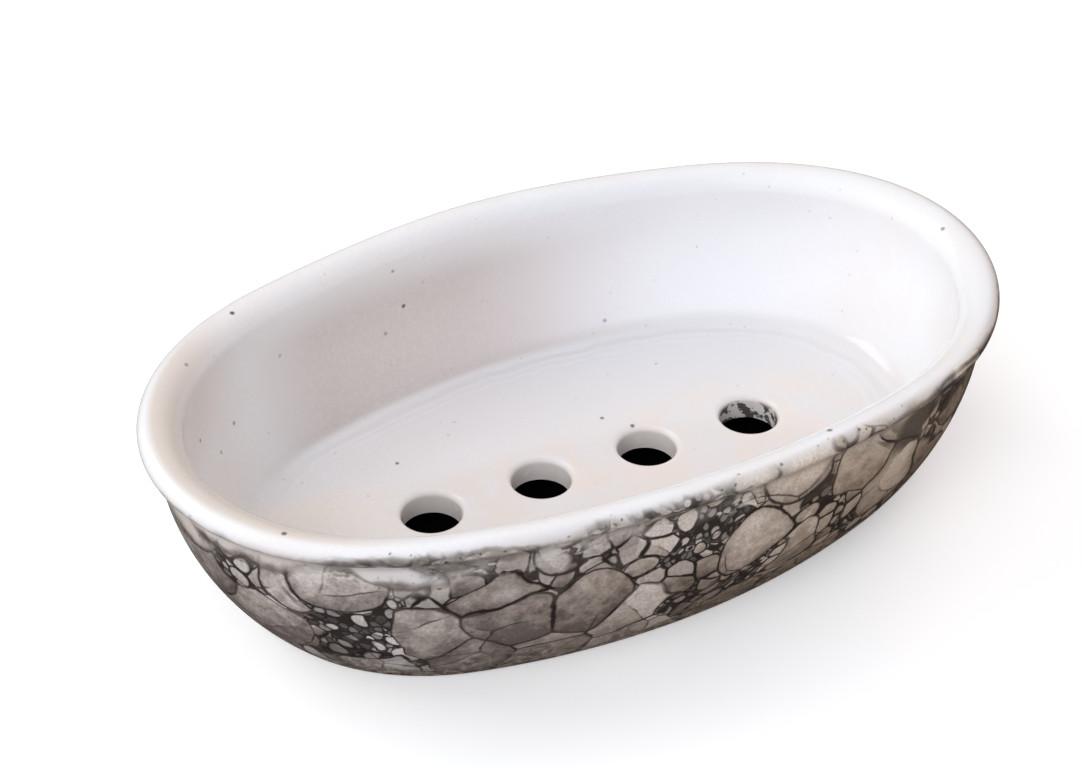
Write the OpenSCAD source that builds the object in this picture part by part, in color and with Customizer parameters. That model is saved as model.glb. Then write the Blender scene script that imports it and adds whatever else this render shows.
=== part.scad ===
// Oval stoneware soap dish: a bowed wall with a rolled lip, a flat floor with a row of drain
// holes, a foot ring under it, a white glaze inside and a patterned glaze outside.
// Lengths are in millimetres. The origin is on the table under the middle of the dish,
// X runs along its length, Y across it and Z is up.

/* [Dish] */
// Overall length over the lip
dish_l = 140; // [124:1:170]
// Overall width over the lip
dish_w = 84; // [80:1:96]
// Height from the table to the crest of the lip
dish_h = 36.4; // [32:0.2:42]
// How many times longer the round form is pulled along X
stretch = 1.25; // [1.1:0.01:1.35]

/* [Wall and lip] */
// Thickness of the wall with its glaze on both sides
wall_t = 3.4; // [2.8:0.1:4.6]
// Radius of the bow that the wall follows from the foot to the neck
bow_r = 48; // [42:1:60]
// How far below the crest the bow is widest
bow_drop = 6.8; // [5:0.1:9]
// Radius of the rolled edge of the lip
lip_r = 1.8; // [1.4:0.1:2.4]
// How far the lip stands out past the bow of the wall
lip_over = 1.7; // [1.2:0.1:2.4]
// Radius of the hollow neck under the lip
neck_r = 3; // [2:0.1:4]

/* [Floor] */
// Height of the glazed floor above the table
floor_h = 9; // [8:0.1:12]
// Thickness of the floor with its glaze
floor_t = 4.4; // [3.6:0.1:5.5]
// Radius of the hollow between the wall and the floor
cove_r = 7; // [5:0.5:9]

/* [Drain holes] */
// Number of drain holes in the row
drain_n = 4; // [1:1:5]
// Diameter of a glazed drain hole
drain_d = 9.6; // [7:0.1:12]
// Distance between the middles of two drain holes
drain_pitch = 19.1; // [16:0.1:22]
// How far the row of holes sits off the middle along X
drain_off = 1.9; // [-3:0.1:3]
// How far the row of holes sits off the middle along Y
drain_aside = 0.8; // [-2:0.1:2]
// Turn of the hand-set row against the long axis, in degrees
drain_turn = -2.7; // [-5:0.1:5]
// Softening of the upper edge of a drain hole
drain_soft = 1.1; // [0.8:0.1:1.6]

/* [Foot] */
// Width of the foot ring
foot_w = 6; // [4.5:0.1:8]
// Rounding of the edges of the foot ring
foot_edge = 1.8; // [1.2:0.1:2.2]
// Depth ground off the rounded foot to make it stand flat
foot_ground = 0.4; // [0.2:0.05:0.6]

/* [Glaze] */
// Thickness of both coats of glaze
glaze_t = 0.5; // [0.35:0.05:0.7]
// Height of the strip above the table that is wiped clean of glaze
wiped_h = 1.4; // [0.8:0.1:2.4]
// Angle above the lip's widest line at which the two glazes meet
seam_angle = 25; // [0:1:60]

/* [Hidden] */
$fn = 160;
// How far a cut runs past the face that it opens
overrun = wall_t;
// Places on the oval are kept to this many steps to the millimetre, so that its arcs meet on
// the same points.
steps_per_mm = 1000;
function exact(v) = round(v * steps_per_mm) / steps_per_mm;

// The oval before it is pulled long has two end arcs and two side arcs. Each joint between
// them lies on a line through both middles, which rises 117 for every 44 along and 125 of its
// own length, so that its sine and cosine are short decimals.
joint_shares = [44, 117];
half_w = dish_w / 2;
joint_unit = exact((dish_l / stretch / 2 - half_w)
                   / (joint_shares.x + joint_shares.y - norm(joint_shares)));
end_mid = joint_unit * joint_shares.x;
side_mid = joint_unit * joint_shares.y;
side_r = half_w + side_mid;
end_r = side_r - joint_unit * norm(joint_shares);
half_l = end_mid + end_r;
// Where the swept section ends and the flat plate in the middle of the floor takes over
core_share = 0.7;
core_in = exact(end_r * core_share);

// Middles of the arcs of the section. X is zero at the lip's edge and falls towards the middle
// of the dish.
bow_mid = [-lip_over - bow_r, dish_h - bow_drop];
lip_mid = [-lip_r, dish_h - lip_r];
lip_way = lip_mid - bow_mid;
neck_reach = bow_r + neck_r;
neck_angle = atan2(lip_way.y, lip_way.x)
    - acos((pow(neck_reach, 2) + lip_way * lip_way - pow(lip_r + neck_r, 2))
           / (2 * neck_reach * norm(lip_way)));
neck_mid = bow_mid + neck_reach * [cos(neck_angle), sin(neck_angle)];
lip_angle = atan2(neck_mid.y - lip_mid.y, neck_mid.x - lip_mid.x);
// The inner roll of the lip starts level at the crest and meets the wall's inner face smoothly.
inner_r = bow_r - wall_t;
roll_r = (lip_way.x * lip_way.x + bow_drop * bow_drop - inner_r * inner_r)
    / (2 * (inner_r + bow_drop));
roll_mid = [-lip_r, dish_h - roll_r];
roll_angle = atan2(roll_mid.y - bow_mid.y, roll_mid.x - bow_mid.x);
// The hollow between the wall and the level floor
cove_angle = asin((floor_h + cove_r - bow_mid.y) / (inner_r - cove_r));
cove_mid = bow_mid + (inner_r - cove_r) * [cos(cove_angle), sin(cove_angle)];
// The foot under the floor, with the outer corner of its ring rounded and then ground flat
under_h = floor_h - floor_t;
clay_r = bow_r - glaze_t;
under_angle = asin((under_h - bow_mid.y) / clay_r);
wiped_angle = asin((wiped_h - bow_mid.y) / bow_r);
corner_h = foot_edge - foot_ground;
corner_angle = asin((corner_h - bow_mid.y) / (clay_r - foot_edge));
corner_mid = bow_mid + (clay_r - foot_edge) * [cos(corner_angle), sin(corner_angle)];

// Points along an arc from one angle to another.
function arc(mid, r, from, to, steps) =
    [for (i = [0 : steps]) mid + r * [cos(from + (to - from) * i / steps), sin(from + (to - from) * i / steps)]];
function turned_back(points) = [for (i = [len(points) - 1 : -1 : 0]) points[i]];

// Outside of the section, set in by depth: the bow above the foot, the neck and the lip's
// edge up to the seam between the glazes.
function outer_path(depth) = concat(
    arc(bow_mid, bow_r - depth, under_angle, neck_angle, 9),
    arc(neck_mid, neck_r + depth, neck_angle + 180, lip_angle + 180, 5),
    arc(lip_mid, lip_r - depth, lip_angle, seam_angle, 6));
// Inside of the section, set in by depth: from the seam over the crest and down to the floor.
function inner_path(depth) = concat(
    arc(lip_mid, lip_r - depth, seam_angle, 90, 5),
    arc(roll_mid, roll_r - depth, 90, roll_angle + 180, 8),
    arc(bow_mid, inner_r + depth, roll_angle, cove_angle, 8),
    arc(cove_mid, cove_r + depth, cove_angle, -90, 7),
    [[-core_in, floor_h - depth]]);
// The bow below the floor, set in by depth, from where the glaze is wiped up to the floor.
function foot_path(depth) = arc(bow_mid, bow_r - depth, wiped_angle, under_angle, 2);

// Carries a section round a quarter turn about a middle, from an angle on.
module turned(mid, r, from) {
    translate(mid) rotate(from) rotate_extrude(angle = 90) translate([r, 0]) children();
}

// Carries a section round the oval. Each quarter has half of an end arc and half of a side arc.
module swept() {
    joint_angle = atan2(joint_shares.y, joint_shares.x);
    reach = [2 * half_l, 2 * half_w, 2 * dish_h];
    for (x = [0, 1], y = [0, 1]) mirror([x, 0, 0]) mirror([0, y, 0]) intersection() {
        union() {
            turned([end_mid, 0, 0], end_r, joint_angle - 90) children();
            turned([0, -side_mid, 0], side_r, joint_angle) children();
        }
        translate([0, 0, -dish_h / 2]) cube(reach);
    }
}

// Flat plate that fills the middle of the swept form and laps onto its level floor.
module core_plate(thick) {
    plate_lap_share = 0.1;
    corner_shares = [[1, 0.5], [0.5, 1], [-0.5, 1], [-1, 0.5], [-1, -0.5], [-0.5, -1], [0.5, -1], [1, -0.5]];
    reach = [half_l - core_in * (1 - plate_lap_share), half_w - core_in * (1 - plate_lap_share)];
    linear_extrude(thick)
        polygon([for (c = corner_shares) [exact(reach.x * c.x), exact(reach.y * c.y)]]);
}

module pulled_long() scale([stretch, 1, 1]) children();

// Places one copy at each drain hole.
module at_drains() {
    translate([drain_off, drain_aside, 0]) rotate(drain_turn) for (i = [1 : drain_n])
        translate([(i - (drain_n + 1) / 2) * drain_pitch, 0, 0]) children();
}

// A drain hole as a solid, wider by depth, from bottom up to top, with its softened mouth.
module drain_form(depth, bottom, top) {
    bore = drain_d / 2 + depth;
    mouth = drain_d / 2 + drain_soft;
    rotate_extrude() {
        translate([0, bottom]) square([bore, top - bottom]);
        difference() {
            translate([0, floor_h - drain_soft]) square([mouth, top - floor_h + drain_soft]);
            translate([mouth, floor_h - drain_soft]) circle(drain_soft - depth);
        }
    }
}

// Fired clay bowl: the wall, the lip and the pierced floor.
module stoneware_body() {
    color("burlywood") difference() {
        pulled_long() {
            swept() polygon(concat(outer_path(glaze_t), inner_path(glaze_t), [[-core_in, under_h]]));
            translate([0, 0, under_h]) core_plate(floor_t - glaze_t);
        }
        at_drains() drain_form(glaze_t, under_h - overrun, floor_h + overrun);
    }
}

// Ring of clay under the floor, whose outside carries the wall's bow down to the table. It is
// made with its bottom fully rounded, and then ground flat.
module foot_ring() {
    outer_mid = [corner_mid.x, corner_h];
    inner_mid = [corner_mid.x - foot_w + foot_edge, corner_h];
    color("tan") difference() {
        pulled_long() swept() polygon(concat(
            [[inner_mid.x - foot_edge, under_h]],
            arc(inner_mid, foot_edge, 180, 270, 4),
            arc(outer_mid, foot_edge, 270, 360 + corner_angle, 3),
            foot_path(glaze_t)));
        translate([-dish_l, -dish_w, -foot_ground - overrun])
            cube([2 * dish_l, 2 * dish_w, foot_ground + overrun]);
    }
}

// White glaze over the inside and the crest of the lip, and down through the drain holes.
module liner_glaze() {
    color("white") difference() {
        union() {
            pulled_long() {
                swept() polygon(concat(inner_path(0), turned_back(inner_path(glaze_t))));
                translate([0, 0, floor_h - glaze_t]) core_plate(glaze_t);
            }
            at_drains() drain_form(glaze_t, under_h, floor_h - glaze_t);
        }
        at_drains() drain_form(0, under_h - overrun, floor_h + overrun);
    }
}

// Patterned glaze over the outside, from under the lip down to the wiped foot.
module bubble_glaze() {
    color("dimgray") pulled_long() swept() polygon(concat(
        foot_path(0), outer_path(0), turned_back(outer_path(glaze_t)), turned_back(foot_path(glaze_t))));
}

stoneware_body();
foot_ring();
liner_glaze();
bubble_glaze();
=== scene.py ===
# %% [markdown]
# # An oval stoneware soap dish
# The real dish is thrown round, pulled oval while the clay is soft, pierced with four drain
# holes and fired with two glazes: a glossy white one inside and over the lip, and a patterned
# one outside that was made with coloured bubbles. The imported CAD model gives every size. This
# notebook repeats its section with finer arcs, carries it round the oval, and then spends most
# of its effort on the two glazes.

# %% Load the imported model
import bpy
import math
from mathutils import Matrix, Vector


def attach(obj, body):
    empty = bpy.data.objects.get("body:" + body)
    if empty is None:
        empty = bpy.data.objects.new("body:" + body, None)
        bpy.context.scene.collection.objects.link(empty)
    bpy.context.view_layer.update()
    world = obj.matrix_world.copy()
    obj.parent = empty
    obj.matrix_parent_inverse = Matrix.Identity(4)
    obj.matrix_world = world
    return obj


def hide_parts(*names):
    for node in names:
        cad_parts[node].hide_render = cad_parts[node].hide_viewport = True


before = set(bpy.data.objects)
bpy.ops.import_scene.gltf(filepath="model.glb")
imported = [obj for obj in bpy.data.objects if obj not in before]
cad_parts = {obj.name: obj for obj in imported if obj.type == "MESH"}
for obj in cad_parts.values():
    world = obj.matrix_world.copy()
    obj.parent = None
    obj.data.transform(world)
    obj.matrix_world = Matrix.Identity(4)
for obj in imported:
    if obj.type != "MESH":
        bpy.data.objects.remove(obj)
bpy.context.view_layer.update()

# %% [markdown]
# ## The camera
# The photograph looks down on the dish from its left front. The camera was matched to the
# dish's outline and its four holes. Its place is built from the direction it looks back along,
# so that the numbers can be read: a turn round the dish, a height angle and a distance.

# %% Camera
MM = 0.001
TURN, RISE = math.radians(-28.63), math.radians(36.64)
AIM_HEIGHT, AWAY, ASIDE, RAISED = 15, 350, -7.33, 7.52
back = Vector((math.sin(TURN) * math.cos(RISE), -math.cos(TURN) * math.cos(RISE), math.sin(RISE)))
right = Vector((math.cos(TURN), math.sin(TURN), 0))
up = back.cross(right)
camera_data = bpy.data.cameras.new("camera")
camera_data.sensor_width = 36
camera_data.lens = 73.3
camera_data.clip_start = 0.01
camera = bpy.data.objects.new("camera", camera_data)
bpy.context.scene.collection.objects.link(camera)
place = MM * (Vector((0, 0, AIM_HEIGHT)) + ASIDE * right + RAISED * up + AWAY * back)
turned = Matrix((right, up, back)).transposed().to_4x4()
camera.matrix_world = Matrix.Translation(place) @ turned
bpy.context.scene.camera = camera
print("Camera at", [round(v, 3) for v in camera.location], "lens", camera_data.lens)

# %% [markdown]
# ## Table, backdrop and light
# The dish was photographed on white in soft window light from the left. A white table and a
# white world give the background. The table adds a little of its own light only where the
# camera sees it, which lifts it to white and leaves the shadow under the dish. Far from the dish,
# where the lamps no longer reach, it is plain white. Everything but the camera sees it as wood,
# which warms the lower part of the wall. The small oval of table that the foot ring shuts in is
# painted black as painted shade, the dark that also shows through the drain holes.

# %% Helpers for node trees
def new_tree(material):
    """A material's empty node tree, with its output node."""
    material.use_nodes = True
    tree = material.node_tree
    tree.nodes.clear()
    return tree, tree.nodes.new("ShaderNodeOutputMaterial")


def node(tree, kind, inputs=(), **settings):
    """Adds a node, sets its properties, and fills or links its inputs by name or number."""
    made = tree.nodes.new(kind if kind.startswith("Node") else "ShaderNode" + kind)
    for key, value in settings.items():
        setattr(made, key, value)
    for key, value in dict(inputs).items():
        if isinstance(value, bpy.types.NodeSocket):
            tree.links.new(value, made.inputs[key])
        else:
            made.inputs[key].default_value = value
    return made


def maths(tree, operation, *values, clamp=False):
    """A Math node's result."""
    return node(tree, "Math", enumerate(values), operation=operation, use_clamp=clamp).outputs[0]


def vector_maths(tree, operation, inputs):
    """A Vector Math node's outputs."""
    return node(tree, "VectorMath", inputs, operation=operation).outputs


def ramp(tree, factor, low, high, to_low=0.0, to_high=1.0, smooth=True):
    """Carries low..high to to_low..to_high, eased at both ends."""
    kind = "SMOOTHSTEP" if smooth else "LINEAR"
    return node(tree, "MapRange", {0: factor, 1: low, 2: high, 3: to_low, 4: to_high},
                interpolation_type=kind).outputs[0]


def blended(tree, factor, a, b, way="MIX"):
    """Two colours blended."""
    mix = node(tree, "Mix", data_type="RGBA", blend_type=way)
    for key, value in ((0, factor), (6, a), (7, b)):
        if isinstance(value, bpy.types.NodeSocket):
            tree.links.new(value, mix.inputs[key])
        else:
            mix.inputs[key].default_value = value
    return mix.outputs[2]


def rgb(red, green, blue):
    return (red, green, blue, 1)


print("Node helpers are ready")

# %% Table
TABLE_GLOW = 0.3
UNDER_SIZE, UNDER_EDGE = (0.052, 0.027), 0.02
LIT_TO, WHITE_FROM = 0.35, 0.9
TABLE_SIZE = 6
# The oval of table under the dish is painted black: painted shade where the foot ring keeps the
# light out.
TABLE_WHITE, PAINTED_SHADE_UNDER_DISH = rgb(0.82, 0.815, 0.81), rgb(0.004, 0.004, 0.004)
WOOD, WOOD_MIRRORED = rgb(0.34, 0.29, 0.25), rgb(0.10, 0.08, 0.07)
table_paint = bpy.data.materials.new("table_white")
tree, output = new_tree(table_paint)
place = node(tree, "TexCoord").outputs["Object"]
oval = vector_maths(tree, "DIVIDE", {0: place, 1: (*UNDER_SIZE, 1)})[0]
oval = vector_maths(tree, "LENGTH", {0: oval})["Value"]
open_table = ramp(tree, oval, 1 - UNDER_EDGE, 1 + UNDER_EDGE)
shown = node(tree, "BsdfDiffuse", {"Color": TABLE_WHITE})
glow = node(tree, "Emission", {"Strength": TABLE_GLOW})
lifted = node(tree, "AddShader", {0: shown.outputs[0], 1: glow.outputs[0]})
distance = vector_maths(tree, "LENGTH", {0: place})["Value"]
far_white = node(tree, "Emission", {"Strength": 1})
lifted = node(tree, "MixShader", {0: ramp(tree, distance, LIT_TO, WHITE_FROM),
                                  1: lifted.outputs[0], 2: far_white.outputs[0]})
path = node(tree, "LightPath")
board = blended(tree, path.outputs["Is Glossy Ray"], WOOD, WOOD_MIRRORED)
# Inside the oval the wood is painted black, as painted shade.
board = node(tree, "BsdfDiffuse", {"Color": blended(tree, open_table, PAINTED_SHADE_UNDER_DISH, board)})
seen = maths(tree, "MULTIPLY", path.outputs["Is Camera Ray"], open_table)
choice = node(tree, "MixShader", {0: seen, 1: board.outputs[0], 2: lifted.outputs[0]})
tree.links.new(choice.outputs[0], output.inputs[0])

bpy.ops.object.select_all(action="DESELECT")
bpy.ops.mesh.primitive_plane_add(size=TABLE_SIZE, location=(0, 0, 0))
table = bpy.context.object
table.name = "table"
table.data.materials.append(table_paint)
print("The table is", TABLE_SIZE, "m wide")

# %% World
ROOM_LIGHT = 0.2
world = bpy.data.worlds.new("white_room")
bpy.context.scene.world = world
world.use_nodes = True
tree = world.node_tree
tree.nodes.clear()
path = node(tree, "LightPath")
room = node(tree, "Background", {"Color": rgb(1, 1, 1), "Strength": ROOM_LIGHT})
plain = node(tree, "Background", {"Color": rgb(1, 1, 1), "Strength": 1})
choice = node(tree, "MixShader", {0: path.outputs["Is Camera Ray"], 1: room.outputs[0],
                                  2: plain.outputs[0]})
tree.links.new(choice.outputs[0], node(tree, "OutputWorld").inputs[0])
bpy.context.scene.view_settings.view_transform = "Standard"
print("The world is made")

# %% Lamps
def window(name, place, size, watts, colour, mirrored=False, aim=(0, 0, 0.02)):
    """A soft rectangular lamp that faces the dish."""
    data = bpy.data.lights.new(name, "AREA")
    data.shape = "RECTANGLE"
    data.size, data.size_y = size
    data.energy = watts
    data.color = colour
    lamp = bpy.data.objects.new(name, data)
    bpy.context.scene.collection.objects.link(lamp)
    lamp.location = place
    lamp.rotation_euler = (Vector(aim) - Vector(place)).to_track_quat("-Z", "Y").to_euler()
    lamp.visible_glossy = mirrored


window("left_back_window", (-0.6, 0.6, 0.6), (0.9, 0.7), 5.8, (1.0, 1.0, 0.97), mirrored=True)
window("left_front_window", (-0.6, -0.6, 0.6), (0.9, 0.7), 8.8, (0.92, 0.94, 1.0))
window("ceiling", (0, 0, 1), (0.8, 0.8), 2.1, (0.8, 0.88, 1.0))
window("right_wall", (0.75, 0.3, 0.6), (0.7, 0.7), 3.4, (1.0, 0.82, 0.74))
print("Lamps are made")

# %% [markdown]
# ## The section of the dish
# Cut the dish across and its wall is a chain of arcs that run into one another: the bow of the
# wall, the hollow neck, the rolled edge, the wider inner roll, the inner face and the cove that
# meets the floor. The values are the CAD model's, all but the cove: its radius is smaller here,
# because glaze that pooled there leaves a crisper line round the floor. X is zero at the lip's
# edge and falls towards the middle. Depth sets a face in from the glazed surface, so one function
# gives glaze and clay.

# %% Sizes and arcs of the section
DISH_L, DISH_W, DISH_H, STRETCH = 140, 84, 36.4, 1.25
WALL_T, BOW_R, BOW_DROP = 3.4, 48, 6.8
LIP_R, LIP_OVER, NECK_R = 1.8, 1.7, 3
FLOOR_H, FLOOR_T, COVE_R = 9, 4.4, 3.4
DRAIN_N, DRAIN_D, DRAIN_PITCH, DRAIN_SOFT = 4, 9.6, 19.1, 1.1
DRAIN_OFF, DRAIN_ASIDE, DRAIN_TURN = 1.9, 0.8, -2.7
FOOT_W, FOOT_EDGE, FOOT_GROUND = 6, 1.8, 0.4
GLAZE_T, WIPED_H, SEAM_ANGLE = 0.5, 1.4, 25


def way_to(angle):
    return Vector((math.cos(math.radians(angle)), math.sin(math.radians(angle))))


def angle_to(v):
    return math.degrees(math.atan2(v.y, v.x))


def asin_deg(v):
    return math.degrees(math.asin(v))


def arc(mid, radius, start, end, steps):
    return [mid + radius * way_to(start + (end - start) * i / steps) for i in range(steps + 1)]


bow_mid = Vector((-LIP_OVER - BOW_R, DISH_H - BOW_DROP))
lip_mid = Vector((-LIP_R, DISH_H - LIP_R))
lip_way = lip_mid - bow_mid
reach = BOW_R + NECK_R
neck_angle = angle_to(lip_way) - math.degrees(math.acos(
    (reach ** 2 + lip_way.length_squared - (LIP_R + NECK_R) ** 2) / (2 * reach * lip_way.length)))
neck_mid = bow_mid + reach * way_to(neck_angle)
lip_angle = angle_to(neck_mid - lip_mid)
inner_r = BOW_R - WALL_T
roll_r = (lip_way.x ** 2 + BOW_DROP ** 2 - inner_r ** 2) / (2 * (inner_r + BOW_DROP))
roll_mid = Vector((-LIP_R, DISH_H - roll_r))
roll_angle = angle_to(roll_mid - bow_mid)
cove_angle = asin_deg((FLOOR_H + COVE_R - bow_mid.y) / (inner_r - COVE_R))
cove_mid = bow_mid + (inner_r - COVE_R) * way_to(cove_angle)
under_h = FLOOR_H - FLOOR_T
clay_r = BOW_R - GLAZE_T
under_angle = asin_deg((under_h - bow_mid.y) / clay_r)
wiped_angle = asin_deg((WIPED_H - bow_mid.y) / BOW_R)
corner_h = FOOT_EDGE - FOOT_GROUND
corner_angle = asin_deg((corner_h - bow_mid.y) / (clay_r - FOOT_EDGE))
corner_mid = bow_mid + (clay_r - FOOT_EDGE) * way_to(corner_angle)
ground_angle = asin_deg(corner_h / FOOT_EDGE)
print("Inner roll radius %.2f, cove middle %.2f %.2f" % (roll_r, *cove_mid))

# %% Paths along the section
def chained(*runs):
    """Runs of points in one line, each shared end kept once."""
    line = list(runs[0])
    for run in runs[1:]:
        line += run[1:] if (run[0] - line[-1]).length < 0.001 else run
    return line


def bow_path(depth, steps=24):
    """Up the outside from the wiped foot to the neck."""
    return arc(bow_mid, BOW_R - depth, wiped_angle, neck_angle, steps)


def edge_path(depth, steps=10):
    """The neck and the lip's edge, up to the seam between the glazes."""
    return chained(arc(neck_mid, NECK_R + depth, neck_angle + 180, lip_angle + 180, steps),
                   arc(lip_mid, LIP_R - depth, lip_angle, SEAM_ANGLE, steps + 4))


def bowl_path(depth, steps=12):
    """From the seam over the crest, down the inner face and round the cove."""
    return chained(arc(lip_mid, LIP_R - depth, SEAM_ANGLE, 90, steps),
                   arc(roll_mid, roll_r - depth, 90, roll_angle + 180, steps + 4),
                   arc(bow_mid, inner_r + depth, roll_angle, cove_angle, steps),
                   arc(cove_mid, COVE_R + depth, cove_angle, -90, steps + 2))


print(len(chained(bow_path(0), edge_path(0))), "points outside,", len(bowl_path(0)), "inside")

# %% [markdown]
# ## Carrying the section round the oval
# A potter's oval is close to four arcs: two tight ones at the ends and two flat ones along the
# sides. The section is drawn point by point with extrude, then spun about the middle of each
# arc in turn, and the doubled last row is merged with the first. The whole ring is then pulled
# long, as the real one was, so its ends grow thicker than its sides.

# %% Draw and spin
JOINT_ALONG, JOINT_ACROSS, JOINT_SLANT = 44, 117, 125
JOINT_UNIT = round((DISH_L / STRETCH / 2 - DISH_W / 2)
                   / (JOINT_ALONG + JOINT_ACROSS - JOINT_SLANT), 3)
END_MID, SIDE_MID = JOINT_ALONG * JOINT_UNIT, JOINT_ACROSS * JOINT_UNIT
SIDE_R = DISH_W / 2 + SIDE_MID
END_R = SIDE_R - JOINT_SLANT * JOINT_UNIT
JOINT = math.atan2(JOINT_ACROSS, JOINT_ALONG)
END_STEPS, SIDE_STEPS = 96, 64
TOUCH = 0.01 * MM


def edit_mode(kind="VERT"):
    """Edit mode, picking vertices, edges or faces."""
    bpy.context.tool_settings.mesh_select_mode = [kind == k for k in ("VERT", "EDGE", "FACE")]
    bpy.ops.object.mode_set(mode="EDIT")


def object_mode():
    bpy.ops.object.mode_set(mode="OBJECT")


def draw_line(name, points):
    """A new object with one line of vertices, drawn with extrude. Points are in metres."""
    bpy.ops.object.select_all(action="DESELECT")
    bpy.ops.mesh.primitive_plane_add(size=MM)
    piece = bpy.context.object
    piece.name = piece.data.name = name
    edit_mode()
    bpy.ops.mesh.merge(type="CENTER")
    bpy.ops.transform.translate(value=points[0])
    for a, b in zip(points, points[1:]):
        bpy.ops.mesh.extrude_vertices_move(TRANSFORM_OT_translate={"value": b - a})
    object_mode()
    return piece


def pick(piece, test, kind="VERT"):
    """Opens the piece in edit mode with only those vertices, edges or faces picked that pass a
    test."""
    mesh = piece.data
    for part, parts in (("VERT", mesh.vertices), ("EDGE", mesh.edges), ("FACE", mesh.polygons)):
        for item in parts:
            item.select = part == kind and test(item)
    if kind == "EDGE":
        for edge in mesh.edges:
            for i in edge.vertices:
                mesh.vertices[i].select |= edge.select
    edit_mode(kind)


def sweep(name, section, closed=False):
    """Carries a section round the four arcs of the oval and pulls the ring long."""
    end_way = Vector((math.cos(-JOINT), math.sin(-JOINT), 0))
    points = [MM * (Vector((END_MID, 0, p.y)) + (END_R + p.x) * end_way) for p in section]
    piece = draw_line(name, points)
    if closed:
        pick(piece, lambda v: v.index in (0, len(points) - 1))
        bpy.ops.mesh.edge_face_add()
        object_mode()
    edit_mode("EDGE")
    bpy.ops.mesh.select_all(action="SELECT")
    turns = ((END_MID, 0, 2 * JOINT, END_STEPS), (0, -SIDE_MID, math.pi - 2 * JOINT, SIDE_STEPS),
             (-END_MID, 0, 2 * JOINT, END_STEPS), (0, SIDE_MID, math.pi - 2 * JOINT, SIDE_STEPS))
    for x, y, angle, steps in turns:
        bpy.ops.mesh.spin(steps=steps, angle=-angle, center=(MM * x, MM * y, 0), axis=(0, 0, 1))
    bpy.ops.mesh.select_mode(type="VERT")
    bpy.ops.mesh.select_all(action="SELECT")
    bpy.ops.mesh.remove_doubles(threshold=TOUCH)
    bpy.ops.transform.resize(value=(STRETCH, 1, 1), center_override=(0, 0, 0))
    bpy.ops.mesh.normals_make_consistent(inside=False)
    object_mode()
    return piece


def use(piece):
    """Makes a piece the only one selected and active."""
    bpy.ops.object.select_all(action="DESELECT")
    piece.select_set(True)
    bpy.context.view_layer.objects.active = piece


def apply_modifier(piece, kind, name, **settings):
    use(piece)
    modifier = piece.modifiers.new(name, kind)
    for key, value in settings.items():
        setattr(modifier, key, value)
    bpy.ops.object.modifier_apply(modifier=modifier.name)


def report(piece):
    mesh = piece.data
    low = [min(v.co[i] for v in mesh.vertices) / MM for i in range(3)]
    high = [max(v.co[i] for v in mesh.vertices) / MM for i in range(3)]
    print(piece.name, len(mesh.polygons), "faces,", [round(v, 1) for v in low + high])


print("The oval's arcs have radii of %.1f and %.1f mm" % (END_R, SIDE_R))

# %% [markdown]
# ## The patterned glaze outside
# The coat is about half a millimetre thick. The swept ring is its outer face, and a Solidify
# modifier gives it the thickness towards the clay, so the two rows of edges at its foot and its
# seam are real edges.

# %% Outer coat
SHARP_FROM = math.radians(40)


def smoothed(piece):
    """Smooth shading over all but the sharp edges."""
    use(piece)
    bpy.ops.object.shade_smooth_by_angle(angle=SHARP_FROM)


def coated(piece):
    """Gives a glaze skin its thickness, inwards."""
    apply_modifier(piece, "SOLIDIFY", "coat", thickness=GLAZE_T * MM, offset=-1,
                   use_even_offset=True)
    smoothed(piece)


outside = sweep("bubble_glaze_coat", chained(bow_path(0), edge_path(0)))
report(outside)
coated(outside)
report(outside)

# %% [markdown]
# ## The white glaze inside
# It runs from the seam over the crest and down to the floor. The level floor is filled between
# the last row of the sweep and four hole mouths. A mouth is a short line spun round the middle
# of its hole: flat, then rounded over, then straight down through the clay. The rounding is what
# catches the light round each hole, so it gets more rows than anything else.

# %% Inner coat
FLAT, FLOOR_EDGE = 0.6, 4
MOUTH_STEPS, CLAY_MOUTH_STEPS = 72, 48
row_way = Vector((*way_to(DRAIN_TURN), 0))
row_mid = Vector((DRAIN_OFF, DRAIN_ASIDE, 0))
drain_mids = [MM * (row_mid + (i - (DRAIN_N - 1) / 2) * DRAIN_PITCH * row_way)
              for i in range(DRAIN_N)]


def mouth_rows(depth, bottom):
    """Half of a hole's section: the flat round it, its rounded edge and its wall."""
    rim = Vector((DRAIN_D / 2 + DRAIN_SOFT, FLOOR_H - DRAIN_SOFT))
    return ([Vector((rim.x + FLAT, FLOOR_H - depth))] + arc(rim, DRAIN_SOFT - depth, 90, 180, 9)
            + [Vector((DRAIN_D / 2 + depth, bottom))])


def mouths(name, rows, steps=MOUTH_STEPS):
    """The four holes, each spun from one line of points."""
    made = []
    for i, mid in enumerate(drain_mids):
        line = draw_line(f"{name}_{i}", [mid + MM * Vector((p.x, 0, p.y)) for p in rows])
        edit_mode()
        bpy.ops.mesh.select_all(action="SELECT")
        bpy.ops.mesh.spin(steps=steps, angle=-math.tau, center=mid, axis=(0, 0, 1))
        bpy.ops.mesh.select_all(action="SELECT")
        bpy.ops.mesh.remove_doubles(threshold=TOUCH)
        object_mode()
        made.append(line)
    return made


def joined(piece, others):
    use(piece)
    for other in others:
        other.select_set(True)
    bpy.ops.object.join()
    return piece


def fill_level(piece, height):
    """Fills what is open at one height between the oval and the hole mouths."""
    use(piece)
    mesh = piece.data
    faces_on = [0] * len(mesh.edges)
    for loop in mesh.loops:
        faces_on[loop.edge_index] += 1
    pick(piece, lambda e: faces_on[e.index] == 1 and all(
        abs(mesh.vertices[i].co.z - height * MM) < TOUCH for i in e.vertices), "EDGE")
    bpy.ops.mesh.fill(use_beauty=True)
    bpy.ops.mesh.select_all(action="SELECT")
    bpy.ops.mesh.normals_make_consistent(inside=False)
    object_mode()


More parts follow.
